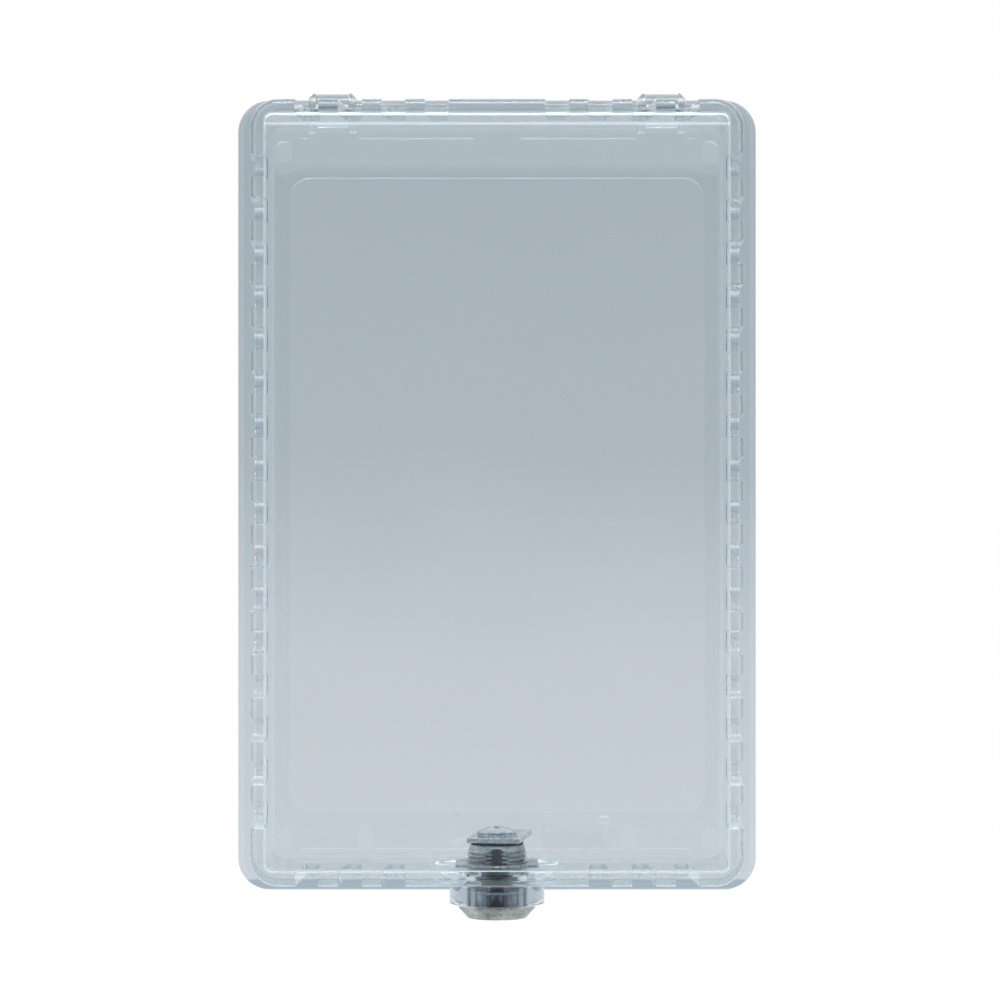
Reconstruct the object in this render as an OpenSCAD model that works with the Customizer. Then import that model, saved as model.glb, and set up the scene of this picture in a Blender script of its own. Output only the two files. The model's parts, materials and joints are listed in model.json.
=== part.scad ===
// Wall-mounted lock box for a thermostat: a clear base plate, a clear vented
// cover hung from two hinges at its top, and a small cam lock at its bottom.
// Origin: wall plane, centre of the base plate. +X right, +Y into the wall, +Z up.

/* [Base plate] */
// Width of the wall flange
base_w = 110; // [96:1:130]
// Height of the wall flange
base_h = 167.7; // [140:0.1:190]
// Corner radius of the flange
base_corner_r = 6.8; // [5:0.1:9]
// Thickness of the flange
base_t = 2.4; // [2:0.1:3]
// Radius of the rounded rim of the flange
base_rim_r = 1.7; // [0.5:0.1:1.9]
// Width of the flange beside its window
window_rim_x = 11; // [10.5:0.1:25]
// Height of the flange above and below its window
window_rim_z = 16.65; // [16.6:0.05:30]
// Corner radius of the window
window_r = 4.5; // [2:0.5:10]
// Height of the rib that locates the cover
rib_h = 3; // [1.5:0.1:4]
// Thickness of the locating rib
rib_t = 1; // [0.8:0.1:1.4]
// Width of the gap at the middle of the upper rib
rib_gap_w = 10; // [4:1:30]

/* [Wall fixing] */
// Distance of the corner slots from the sides of the flange
slot_edge_x = 10; // [9.8:0.1:12]
// Distance of all slots from the ends of the flange
slot_edge_z = 11.3; // [11:0.1:13]
// Distance across between the two inner lower slots
inner_slot_span = 55.6; // [50:0.2:70]
// Width of a screw slot
slot_w = 3.6; // [3:0.1:4.6]
// Length of a screw slot
slot_l = 4.8; // [4.7:0.1:6]
// Radius of the raised pad round a slot
pad_r = 4.3; // [3.6:0.1:4.6]
// Height of the pads
pad_h = 0.35; // [0.2:0.05:0.4]
// Distance of the round witness pads at the top from the corner slots
spot_in = 7; // [6:0.5:12]
// Drop of the witness pads below the corner slots
spot_drop = 2; // [0:0.5:4]

/* [Cover] */
// Distance of the front of the cover from the sides of the flange
cover_rim_x = 5.5; // [5.3:0.1:6.5]
// Distance of the front of the cover from the ends of the flange
cover_rim_z = 4.9; // [4.9:0.05:5.6]
// How far the middle of the cover lies above the middle of the base
cover_lift = 0.55; // [0:0.05:0.6]
// Distance from the wall to the front of the cover
cover_depth = 46; // [40:1:70]
// Corner radius of the cover at its front
cover_corner_r = 5.7; // [5:0.1:7]
// Thickness of the side walls
wall_t = 2.8; // [2.6:0.1:3.2]
// Thickness of the front
front_t = 2.5; // [2:0.1:3.5]
// Outward draft of the walls from front to back
draft = 1; // [0.4:0.1:1.2]
// Radius of the rounded front edge
front_edge_r = 1.5; // [0.6:0.1:1.8]
// Corner radius of the inside
inner_corner_r = 1.6; // [1.2:0.1:2.4]
// Gap between the flange and the back edge of the cover
cover_gap = 0.5; // [0.4:0.1:0.8]

/* [Ventilation slots] */
// Distance from one slot to the next
vent_pitch = 8.7; // [8:0.1:9]
// Width of a slot at the front
vent_w = 4.9; // [4:0.1:5.4]
// Width of a slot at its blind end
vent_end_w = 3.3; // [2.4:0.1:3.6]
// Length of a slot from the front edge
vent_l = 24; // [10:1:26]
// Least distance of a row of slots from the ends of its wall
vent_margin = 8; // [6:0.5:14]
// Distance from the middle to the first slot of each half of the top
vent_first_x = 12.05; // [11.5:0.05:12.5]
// How far the middle of the side rows lies above the middle of the cover
vent_lift = 0.35; // [0:0.05:1]

/* [Hinge] */
// Distance of the hinges from the sides of the cover
hinge_edge = 14.8; // [13.5:0.1:22]
// Height of the hinge axis above the top of the cover
hinge_rise = 2.7; // [2.6:0.05:2.9]
// Distance of the hinge axis from the wall
hinge_d = 5.5; // [5.4:0.1:5.8]
// Radius of the pivot pins
pivot_r = 1.1; // [0.9:0.05:1.2]
// Radial clearance of the pivot pins
pivot_play = 0.05; // [0.03:0.01:0.09]
// Radius of the rounded end of a hinge tab
tab_r = 2.5; // [2.3:0.1:2.6]
// Width of a hinge tab
tab_w = 6.8; // [5:0.1:7.4]
// Thickness of a hinge ear
ear_t = 1.5; // [1.2:0.1:2]
// Side clearance between a tab and its ears
ear_play = 0.15; // [0.1:0.05:0.25]

/* [Keeper] */
// Distance from the lock axis to the open end of the catch
catch_x = 9; // [8.8:0.1:10]
// Distance from the lock axis to the outer rib of the keeper
keeper_rib_x = 21.5; // [20.5:0.1:23]
// Thickness of the outer rib
keeper_rib_t = 1.9; // [1.4:0.1:2.6]
// Thickness of the catch plate
catch_t = 1.6; // [1.2:0.1:2]
// Thickness of the shelf over the cam
shelf_t = 1.3; // [1:0.1:1.6]
// Gap between the locked cam and the catch plate
catch_play = 0.8; // [0.5:0.1:1.2]
// How far the catch plate reaches below the cam
catch_drop = 0.9; // [0.3:0.1:1]
// Thickness of the short rib left of the lock
stop_rib_t = 1.4; // [1:0.1:2]

/* [Lock] */
// Distance of the lock axis from the wall
lock_d = 20; // [20:0.5:22]
// Radius of the threaded barrel
barrel_r = 6.2; // [6:0.05:6.4]
// Distance of the two flats of the barrel from its axis
flat_d = 5.65; // [5.4:0.05:5.8]
// Depth of the round dish that the nut sits in
dish_depth = 1.3; // [0.8:0.1:1.4]
// Radius of the dish at its rim
dish_r = 15.9; // [14:0.1:16.4]
// Radius of the dish at its floor
dish_floor_r = 11.5; // [11:0.1:12.5]
// Thickness of the floor under the nut
seat_t = 2.5; // [2.2:0.1:3]
// Radius of the boss under the cover
boss_r = 9.9; // [9.4:0.1:10.6]
// Length of the boss under the floor
boss_l = 4.9; // [4:0.1:6]
// Radius of the bezel at the boss
bezel_r = 8.3; // [8:0.1:8.8]
// Radius of the bezel at its face
bezel_face_r = 6.05; // [5.9:0.05:7]
// Height of the bezel
bezel_h = 2.5; // [2.2:0.1:3]
// Length of the barrel above the floor of the dish
barrel_above = 5.3; // [5:0.1:5.6]
// Width of the nut across its flats
nut_af = 17; // [16:0.5:17.5]
// Thickness of the nut
nut_t = 1.1; // [1:0.1:1.8]
// Thickness of the toothed washer
star_t = 0.6; // [0.4:0.1:0.8]
// Outer radius of the toothed washer
star_r = 9.2; // [8.6:0.1:9.6]
// Number of teeth of the washer
star_n = 18; // [12:1:24]
// Radius of the plug
plug_r = 4; // [3.8:0.05:4.1]
// Radial clearance of the plug in the housing
plug_play = 0.08; // [0.05:0.01:0.1]

/* [Cam] */
// Turn of the cam from straight back, as it stands unlocked
cam_rest = 7.4; // [0:0.1:12]
// Full turn of the lock
lock_turn = 90; // [80:1:90]
// Thickness of the cam
cam_t = 1; // [0.8:0.1:1.6]
// Width of the cam
cam_w = 11; // [10:0.1:11.2]
// Reach of the cam behind the lock axis
cam_toe = 14.9; // [12:0.1:15]
// Reach of the cam in front of the lock axis
cam_heel = 6; // [5.6:0.1:6.2]
// Radius of the rounded far corner of the cam
cam_corner_r = 4; // [1:0.5:5]
// Thickness of the stop washer
stop_t = 0.7; // [0.6:0.1:1]
// Side of the square tail of the plug
tail_w = 5; // [4.6:0.1:5.2]
// Radius of the washer under the screw head
washer_r = 4.2; // [4:0.1:4.6]
// Thickness of that washer
washer_t = 0.4; // [0.3:0.1:0.6]
// Radius of the screw head
head_r = 4.05; // [3.9:0.05:4.4]
// Height of the rim of the screw head
head_rim_h = 0.5; // [0.4:0.1:0.8]
// Height of the dome of the screw head
head_dome_h = 1.1; // [0.8:0.1:1.3]
// Radius of the screw shank
shank_r = 1.95; // [1.8:0.05:2]
// Length of the screw shank
shank_l = 4.6; // [3:0.2:4.6]

/* [Wafers] */
// Thickness of a wafer
wafer_t = 0.8; // [0.6:0.05:0.9]
// Width of a wafer
wafer_w = 4.6; // [4:0.1:4.8]
// Travel of the wafers
wafer_travel = 0.5; // [0.4:0.05:0.6]
// Distance from one wafer to the next
wafer_pitch = 1.8; // [1.7:0.05:1.8]
// Distance from the plug face to the first wafer
wafer_first = 3; // [2.6:0.1:3]
// Width of the keyway
keyway_w = 1.3; // [1:0.1:1.5]
// Height of the keyway
keyway_h = 5; // [4.6:0.1:5.2]
// Radius of a wafer spring
spring_r = 0.45; // [0.4:0.01:0.48]
// Radius of the spring wire
wire_r = 0.1; // [0.08:0.01:0.12]

/* [Hidden] */
$fn = 64;
eps = 0.01;
through = 60;

// Sizes that follow from the flange
window_w = base_w - 2 * window_rim_x;
window_h = base_h - 2 * window_rim_z;
slot_span_x = base_w - 2 * slot_edge_x;
slot_span_z = base_h - 2 * slot_edge_z;
cover_w = base_w - 2 * cover_rim_x;
cover_h = base_h - 2 * cover_rim_z;
vent_side_n = floor((cover_h - 2 * vent_margin) / vent_pitch);
vent_top_n = floor((cover_w / 2 - vent_margin - vent_first_x) / vent_pitch) + 1;

// Depths from the wall, as places on Y
base_front_y = -base_t;
cover_back_y = base_front_y - cover_gap;
cover_front_y = -cover_depth;
inner_front_y = cover_front_y + front_t;
lock_y = -lock_d;
hinge_y = -hinge_d;

// Cover outlines at the front, and how the walls lean
cover_top_z = cover_lift + cover_h / 2;
cover_bottom_z = cover_lift - cover_h / 2;
lean = draft / (cover_back_y - cover_front_y);
inner_w = cover_w - 2 * wall_t;
inner_h = cover_h - 2 * wall_t;
function leaned(y) = lean * (y - cover_front_y);
inner_bottom_z = cover_bottom_z + wall_t - leaned(lock_y);
inner_edge_r = inner_corner_r / 2;

// Heights along the lock axis, from the face of the bezel to the screw head
seat_z = inner_bottom_z - dish_depth;
floor_z = seat_z - seat_t;
boss_end_z = floor_z - boss_l;
bezel_face_z = boss_end_z - bezel_h;
barrel_top_z = seat_z + barrel_above;
star_top_z = seat_z + star_t;
stop_top_z = barrel_top_z + stop_t;
cam_top_z = stop_top_z + cam_t;
washer_top_z = cam_top_z + washer_t;

// Pad and boss under the cover, and the barrel's room in its hole
lock_pad_r = dish_floor_r + 1.8;
boss_chamfer = 0.6;
barrel_play = 0.1;
thread_play = 0.04;

// Stations along the lock: neck under the thread, plug face and its bores
neck_l = 3.1;
neck_z = boss_end_z + neck_l;
neck_in = 0.2;
barrel_tip_r = barrel_r - 0.75;
tip_h = 1;
plug_face_z = bezel_face_z + 0.3;
plug_rim_r = plug_r + 1;
plug_rim_t = 0.9;
plug_top_z = barrel_top_z;
stop_ring_r = plug_r + 0.5;
stop_lug_r = barrel_tip_r - 0.15;
stop_lug_turn = 40;
stop_gap = 0.5;
wafer_edge = plug_r - 0.05;
wafer_count = 4;
wafer_slot_play = 0.05;
retainer_room = 0.6;
retainer_z = plug_face_z + wafer_first + wafer_count * wafer_pitch + retainer_room;
retainer_out = 0.5;
groove_r = wafer_edge + retainer_out + 0.25;
lug_w = 1.1;
lug_y = wafer_w / 2 + lug_w / 2;
lug_x = [0.6, 1.3];
spring_back_x = -1.9;
spring_turns = 5;

// Directions of the cam, clockwise seen from above, with straight back as 0
cam_turn_min = 0;
cam_turn_max = lock_turn;
lug_lead = 135;

// Room between the locating rib and the walls of the cover
rib_play = 0.9;
rib_top_play = 1.3;
pad_play = 0.1;

// Hinge
hinge_x = cover_w / 2 - hinge_edge;
hinge_z = cover_top_z + hinge_rise;
ear_in_x = tab_w / 2 + ear_play;
ear_out_x = ear_in_x + ear_t;
ear_proud = 0.1;
ear_r = tab_r + ear_proud;
ear_clear = 0.3;
ear_notch_over = 3;
ear_notch_back = 0.2;
ear_bevel = 1.1;
ear_drop = 5.6;
ear_foot_z = hinge_z - ear_drop;
ear_join_z = min(hinge_z + 0.7 * ear_r, base_h / 2 - base_rim_r / 2);
tab_foot_l = 4 * tab_r;
tab_slope = 0.6 * tab_r;
pin_in = 0.1;

// Keeper
cam_half = cam_w / 2;
catch_back_y = lock_y - cam_half - catch_play;
catch_front_y = catch_back_y - catch_t;
shelf_room = 3;
shelf_top_z = cam_top_z + shelf_room;
catch_bottom_z = stop_top_z - catch_drop;
stop_rib_x = -9.1;
stop_rib_l = 3.2;
stop_rib_front_y = base_front_y - stop_rib_l;
stop_rib_bottom_z = -slot_span_z / 2 - stop_rib_t;

module along_y(y0, y1)
    translate([0, y1, 0])
        rotate([90, 0, 0])
            linear_extrude(y1 - y0)
                children();

module along_x(x0, x1)
    translate([x0, 0, 0])
        rotate([90, 0, 90])
            linear_extrude(x1 - x0)
                children();

module rounded_rect(w, h, r)
    union() {
        square([w - 2 * r, h], center = true);
        square([w, h - 2 * r], center = true);
        for (sx = [-1, 1], sz = [-1, 1])
            translate([sx * (w / 2 - r), sz * (h / 2 - r)])
                circle(r);
    }

// Cross-section of a drafted block: rounded at the front, wider at the back
module block_section(half, y_front, y_back, grow, r) {
    lap = min(r, y_back - y_front - r) / 2;
    union() {
        polygon([
            [-half - grow, y_back], [half + grow, y_back],
            [half, y_front + r], [-half, y_front + r]
        ]);
        translate([-half + r, y_front])
            square([2 * (half - r), r + lap]);
        for (s = [-1, 1])
            translate([s * (half - r), y_front + r])
                intersection() {
                    circle(r);
                    translate([-r, -r])
                        square([2 * r, r + lap]);
                }
    }
}

// Drafted block with rounded corners, its front edge rounded by edge_r
module drafted_block(w, h, corner_r, y_front, y_back, grow, edge_r)
    union() {
        linear_extrude(h - 2 * corner_r, center = true)
            block_section(w / 2, y_front, y_back, grow, edge_r);
        rotate([0, -90, 0])
            linear_extrude(w - 2 * corner_r, center = true)
                block_section(h / 2, y_front, y_back, grow, edge_r);
        for (sx = [-1, 1], sz = [-1, 1])
            translate([sx * (w / 2 - corner_r), 0, sz * (h / 2 - corner_r)])
                rotate([-90, 0, 0])
                    rotate_extrude()
                        intersection() {
                            block_section(corner_r, y_front, y_back, grow, edge_r);
                            translate([0, y_front - 1])
                                square([corner_r + grow + 1, y_back - y_front + 2]);
                        }
    }

module screw_slot_outline()
    union() {
        square([slot_w, slot_l - slot_w], center = true);
        for (s = [-1, 1])
            translate([0, s * (slot_l - slot_w) / 2])
                circle(d = slot_w);
    }

module at_corner_slots()
    for (sx = [-1, 1], sz = [-1, 1])
        translate([sx * slot_span_x / 2, sz * slot_span_z / 2])
            children();

// The four corner slots and the two inner ones at the bottom
module at_screw_slots() {
    at_corner_slots()
        children();
    for (sx = [-1, 1])
        translate([sx * inner_slot_span / 2, -slot_span_z / 2])
            children();
}

// Thin rib inside the back edge of the cover, open at the hinges and round the screws
module locating_rib() {
    top_z = cover_top_z - wall_t + draft - rib_top_play;
    bottom_z = cover_bottom_z + wall_t - draft + rib_play;
    side_x = inner_w / 2 + draft - rib_play;
    hinge_gap = 2 * (ear_out_x + ear_clear);
    difference() {
        along_y(base_front_y - rib_h, base_front_y)
            difference() {
                translate([-side_x, bottom_z])
                    square([2 * side_x, top_z - bottom_z]);
                translate([-side_x + rib_t, bottom_z + rib_t])
                    square([2 * (side_x - rib_t), top_z - bottom_z - 2 * rib_t]);
            }
        for (x = [-hinge_x, hinge_x])
            translate([x - hinge_gap / 2, base_front_y - through, top_z - 3 * rib_t])
                cube([hinge_gap, through, 6 * rib_t]);
        translate([-rib_gap_w / 2, base_front_y - through, top_z - 3 * rib_t])
            cube([rib_gap_w, through, 6 * rib_t]);
        along_y(base_front_y - through, base_front_y)
            at_corner_slots()
                circle(pad_r + pad_play);
    }
}

// One hinge ear, its outer edge bevelled, drawn with its inner face at x = 0
module hinge_ear()
    difference() {
        union() {
            along_x(0, ear_t)
                translate([hinge_y - ear_r, ear_foot_z])
                    square([ear_r + hinge_d - base_t, hinge_z - ear_foot_z]);
            translate([0, hinge_y, hinge_z])
                rotate([0, 90, 0]) {
                    cylinder(ear_t - ear_bevel, r = ear_r);
                    translate([0, 0, ear_t - ear_bevel])
                        cylinder(ear_bevel, r1 = ear_r, r2 = ear_r - ear_bevel);
                }
            along_x(0, ear_t - ear_bevel)
                translate([hinge_y, ear_foot_z])
                    square([hinge_d - base_t, ear_join_z - ear_foot_z]);
        }
        translate([-1, hinge_y, hinge_z])
            rotate([0, 90, 0])
                cylinder(ear_t + 2, r = pivot_r + pivot_play);
    }

// Catch for the cam, open to the left, and the short rib left of the lock
module keeper() {
    rib_out_x = keeper_rib_x + keeper_rib_t;
    translate([keeper_rib_x, catch_front_y, catch_bottom_z])
        cube([keeper_rib_t, base_front_y - catch_front_y, shelf_top_z - catch_bottom_z]);
    translate([catch_x, catch_front_y, shelf_top_z - shelf_t])
        cube([rib_out_x - catch_x, base_front_y - catch_front_y, shelf_t]);
    translate([catch_x, catch_front_y, catch_bottom_z])
        cube([rib_out_x - catch_x, catch_t, shelf_top_z - catch_bottom_z]);
    translate([stop_rib_x, stop_rib_front_y, stop_rib_bottom_z])
        cube([stop_rib_t, base_front_y - stop_rib_front_y, shelf_top_z - stop_rib_bottom_z]);
}

module base_plate()
    color([0.8, 0.86, 0.89, 0.5])
        difference() {
            union() {
                drafted_block(base_w, base_h, base_corner_r, base_front_y, 0, 0, base_rim_r);
                along_y(base_front_y - pad_h, base_front_y)
                    at_screw_slots()
                        circle(pad_r);
                along_y(base_front_y - pad_h, base_front_y)
                    for (s = [-1, 1])
                        translate([s * (slot_span_x / 2 - spot_in), slot_span_z / 2 - spot_drop])
                            circle(pad_r);
                locating_rib();
                keeper();
                for (x = [-hinge_x, hinge_x])
                    translate([x, 0, 0]) {
                        translate([ear_in_x, 0, 0])
                            hinge_ear();
                        mirror([1, 0, 0])
                            translate([ear_in_x, 0, 0])
                                hinge_ear();
                    }
            }
            along_y(base_front_y - 1, 1)
                rounded_rect(window_w, window_h, window_r);
            along_y(base_front_y - 1, 1)
                at_screw_slots()
                    screw_slot_outline();
        }

// Side view of one slot: widest at the front edge, round at its blind end
module vent_outline()
    union() {
        end_r = vent_end_w / 2;
        polygon([
            [-vent_w / 2, cover_front_y - 1], [vent_w / 2, cover_front_y - 1],
            [end_r, cover_front_y + vent_l - end_r], [-end_r, cover_front_y + vent_l - end_r]
        ]);
        translate([0, cover_front_y + vent_l - end_r])
            circle(end_r);
    }

// Slots of both side walls, cut from the inside face outwards
module side_vents() {
    cut = wall_t + draft + 1;
    for (s = [-1, 1], k = [0 : vent_side_n - 1])
        translate([
            s * (inner_w + cut) / 2, 0,
            cover_lift + vent_lift + (k - (vent_side_n - 1) / 2) * vent_pitch
        ])
            rotate([0, -90, 0])
                linear_extrude(cut, center = true)
                    vent_outline();
}

// Slots of the top wall, and of the bottom wall on both sides of the lock
module end_vents() {
    cut = wall_t + draft + 1;
    for (s = [-1, 1], k = [0 : vent_top_n - 1]) {
        x = s * (vent_first_x + k * vent_pitch);
        translate([x, 0, cover_top_z - wall_t + cut / 2])
            linear_extrude(cut, center = true)
                vent_outline();
        if (k > 0)
            translate([x, 0, cover_bottom_z + wall_t - cut / 2])
                linear_extrude(cut, center = true)
                    vent_outline();
    }
}

// Hinge tab with its two pivot pins, drawn about x = 0
module hinge_tab() {
    wall_z = cover_top_z - wall_t / 2;
    pin_l = 2 * (ear_out_x - pin_in);
    along_x(-tab_w / 2, tab_w / 2)
        union() {
            polygon([
                [hinge_y - tab_r, hinge_z], [hinge_y + tab_r, hinge_z],
                [hinge_y + tab_r, wall_z], [hinge_y - tab_foot_l, wall_z],
                [hinge_y - tab_foot_l + tab_slope, cover_top_z + draft / 2]
            ]);
            translate([hinge_y, hinge_z])
                circle(tab_r);
        }
    translate([0, hinge_y, hinge_z])
        rotate([0, 90, 0])
            cylinder(pin_l, r = pivot_r, center = true);
}

// Room in the top wall for the two ears of a hinge, drawn about x = 0
module ear_notches() {
    notch_y = hinge_y - ear_r - ear_clear - ear_notch_back;
    notch_w = ear_out_x + ear_clear - tab_w / 2;
    for (x = [tab_w / 2, -ear_out_x - ear_clear])
        translate([x, notch_y, cover_top_z - wall_t - 1])
            cube([notch_w, hinge_d - notch_y, wall_t + draft + ear_notch_over]);
}

// Boss for the lock: a pad under the floor, then a chamfered tube
module lock_boss()
    translate([0, lock_y, 0]) {
        translate([0, 0, floor_z])
            cylinder(seat_t, r1 = lock_pad_r, r2 = lock_pad_r + 2);
        translate([0, 0, boss_end_z + boss_chamfer])
            cylinder(boss_l + seat_t - boss_chamfer, r = boss_r);
        translate([0, 0, boss_end_z])
            cylinder(boss_chamfer, r1 = bezel_r + 0.1, r2 = boss_r);
    }

// Double-D outline of the barrel, grown by play
module barrel_outline(play)
    intersection() {
        circle(barrel_r + play);
        square([4 * barrel_r, 2 * (flat_d + play)], center = true);
    }

module cover()
    color([0.82, 0.88, 0.91, 0.45])
        difference() {
            union() {
                difference() {
                    translate([0, 0, cover_lift])
                        drafted_block(
                            cover_w, cover_h, cover_corner_r,
                            cover_front_y, cover_back_y, draft, front_edge_r
                        );
                    ear_room();
                }
                for (x = [-hinge_x, hinge_x])
                    translate([x, 0, 0])
                        hinge_tab();
                lock_boss();
            }
            cover_cavity();
            side_vents();
            end_vents();
            translate([0, lock_y, seat_z])
                cylinder(dish_depth + leaned(0), r1 = dish_floor_r, r2 = dish_r);
            translate([0, lock_y, boss_end_z - 1])
                linear_extrude(boss_l + seat_t + 2)
                    barrel_outline(barrel_play);
        }

module ear_room()
    for (x = [-hinge_x, hinge_x])
        translate([x, 0, 0])
            ear_notches();

// Inside of the cover, drafted like the outside
module cover_cavity()
    intersection() {
        translate([0, 0, cover_lift])
            drafted_block(
                inner_w, inner_h, inner_corner_r,
                inner_front_y, cover_back_y + eps, draft, inner_edge_r
            );
        translate([-cover_w, cover_front_y, -cover_h])
            cube([2 * cover_w, cover_depth, 2 * cover_h]);
    }

// Turns its children clockwise seen from above, about the lock axis
module turned(angle)
    translate([0, lock_y, 0])
        rotate([0, 0, -angle])
            children();

function clockwise(r, a) = r * [sin(a), cos(a)];

// Ring sector between two directions, clockwise from straight back
module ring_sector(r_in, r_out, from, to) {
    steps = 12;
    function at(i) = from + (to - from) * i / steps;
    intersection() {
        difference() {
            circle(r_out);
            circle(r_in);
        }
        polygon(concat([[0, 0]], [for (i = [0 : steps]) clockwise(2 * r_out, at(i))]));
    }
}

// Places its children at each wafer, with z = 0 in the middle of the wafer
module at_wafer(n)
    translate([0, 0, plug_face_z + wafer_first + (n - 0.5) * wafer_pitch])
        children();

// Channel for the wafers that stand out, wide enough for a small turn
module wafer_channel(angle, turn) {
    reach = wafer_edge + wafer_travel;
    width = wafer_w + 0.3 + 2 * reach * sin(turn / 2);
    rotate([0, 0, -angle])
        translate([0, -width / 2, plug_face_z + wafer_first])
            cube([reach + 0.25, width, wafer_count * wafer_pitch - 0.3]);
}

module lock_housing()
    color([0.62, 0.63, 0.62])
        translate([0, lock_y, 0])
            difference() {
                union() {
                    intersection() {
                        translate([0, 0, boss_end_z])
                            linear_extrude(barrel_top_z - boss_end_z)
                                barrel_outline(0);
                        union() {
                            translate([0, 0, boss_end_z])
                                cylinder(neck_z - boss_end_z, r = barrel_r - neck_in);
                            translate([0, 0, neck_z])
                                cylinder(neck_in, r1 = barrel_r - neck_in, r2 = barrel_r);
                            translate([0, 0, neck_z + neck_in])
                                cylinder(barrel_top_z - tip_h - neck_z - neck_in, r = barrel_r);
                            translate([0, 0, barrel_top_z - tip_h])
                                cylinder(tip_h, r1 = barrel_r, r2 = barrel_tip_r);
                        }
                    }
                    translate([0, 0, bezel_face_z])
                        cylinder(bezel_h, r1 = bezel_face_r, r2 = bezel_r);
                    translate([0, 0, barrel_top_z])
                        linear_extrude(stop_t - 0.1)
                            ring_sector(
                                stop_ring_r + 0.1, barrel_tip_r,
                                cam_turn_max + lug_lead + (stop_lug_turn + stop_gap) / 2,
                                360 + cam_turn_min + lug_lead - (stop_lug_turn + stop_gap) / 2
                            );
                }
                translate([0, 0, bezel_face_z - 1])
                    cylinder(barrel_top_z - bezel_face_z + 2, r = plug_r + plug_play);
                translate([0, 0, bezel_face_z - 1])
                    cylinder(plug_face_z + plug_rim_t + 0.05 - bezel_face_z + 1, r = plug_rim_r + plug_play);
                translate([0, 0, retainer_z - wafer_t / 2 - 0.15])
                    cylinder(wafer_t + 0.3, r = groove_r);
                wafer_channel((cam_rest + cam_turn_min) / 2, cam_rest - cam_turn_min);
                wafer_channel(cam_turn_max, 0);
            }

module lock_nut() {
    top_chamfer = 0.35;
    corner_r = nut_af / 2 / cos(30);
    color([0.8, 0.8, 0.79])
        translate([0, lock_y, star_top_z])
            difference() {
                intersection() {
                    rotate([0, 0, 30])
                        cylinder(nut_t, r = corner_r, $fn = 6);
                    cylinder(nut_t, r1 = corner_r + nut_t - top_chamfer, r2 = corner_r - top_chamfer);
                }
                translate([0, 0, -1])
                    cylinder(nut_t + 2, r = barrel_r + thread_play);
            }
}

// Flat washer with teeth round its rim
module lock_washer() {
    tooth_l = 0.9;
    tooth_w = 1.5;
    color([0.72, 0.72, 0.71])
        translate([0, lock_y, seat_z])
            linear_extrude(star_t)
                difference() {
                    union() {
                        circle(star_r - tooth_l);
                        for (k = [0 : star_n - 1])
                            rotate(k * 360 / star_n)
                                translate([star_r - 2 * tooth_l, -tooth_w / 2])
                                    square([2 * tooth_l, tooth_w]);
                    }
                    circle(barrel_r + barrel_play);
                }
}

// Plug with its face rim, square tail, keyway, wafer slots and screw hole
module lock_plug()
    color([0.7, 0.66, 0.5])
        turned(cam_rest)
            difference() {
                union() {
                    translate([0, 0, plug_face_z])
                        cylinder(plug_top_z - plug_face_z, r = plug_r);
                    translate([0, 0, plug_face_z])
                        cylinder(plug_rim_t, r = plug_rim_r);
                    intersection() {
                        translate([-tail_w / 2, -tail_w / 2, plug_top_z])
                            cube([tail_w, tail_w, cam_top_z - 0.05 - plug_top_z]);
                        translate([0, 0, plug_top_z])
                            cylinder(cam_top_z - plug_top_z, r = 0.62 * tail_w);
                    }
                }
                translate([-keyway_h / 2, -keyway_w / 2, plug_face_z - 1])
                    cube([keyway_h, keyway_w, retainer_z - plug_face_z + 1.5]);
                for (n = [1 : wafer_count])
                    at_wafer(n)
                        wafer_room();
                translate([0, 0, retainer_z])
                    wafer_room();
                translate([0, 0, cam_top_z - shank_l - 0.5])
                    cylinder(shank_l + 1, r = shank_r + 0.05);
            }

// Slot across the plug for one wafer, with the pocket of its spring
module wafer_room() {
    slot_t = wafer_t + 2 * wafer_slot_play;
    slot_room_w = wafer_w + 2 * wafer_slot_play;
    pocket_h = 2 * spring_r + 0.1;
    translate([-2 * plug_r, -slot_room_w / 2, -slot_t / 2])
        cube([4 * plug_r, slot_room_w, slot_t]);
    translate([spring_back_x, wafer_w / 2 - wafer_slot_play, -pocket_h / 2])
        cube([lug_x[1] + wafer_travel + 0.2 - spring_back_x, lug_w + 0.1, pocket_h]);
}

// Wafer plate with rounded ends, a key window and a lug for its spring
module wafer_plate(window_shift, reach)
    linear_extrude(wafer_t, center = true)
        difference() {
            union() {
                intersection() {
                    translate([reach, 0])
                        circle(wafer_edge);
                    translate([-plug_r, -wafer_w / 2])
                        square([3 * plug_r, wafer_w]);
                    circle(wafer_edge + reach);
                }
                translate([lug_x[0], wafer_w / 2 - 0.1])
                    square([lug_x[1] - lug_x[0], lug_w]);
            }
            translate([window_shift - keyway_h / 4, -keyway_w / 2 - 0.3])
                square([keyway_h / 2 + 0.6, keyway_w + 0.6]);
        }

module wafer(n)
    color([0.85, 0.72, 0.38])
        turned(cam_rest)
            at_wafer(n)
                wafer_plate(-0.75 + 0.35 * [0, 2, 1, 3][n - 1], 0);

module plug_retainer()
    color([0.85, 0.72, 0.38])
        turned(cam_rest)
            translate([0, 0, retainer_z])
                wafer_plate(0, retainer_out);

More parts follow.
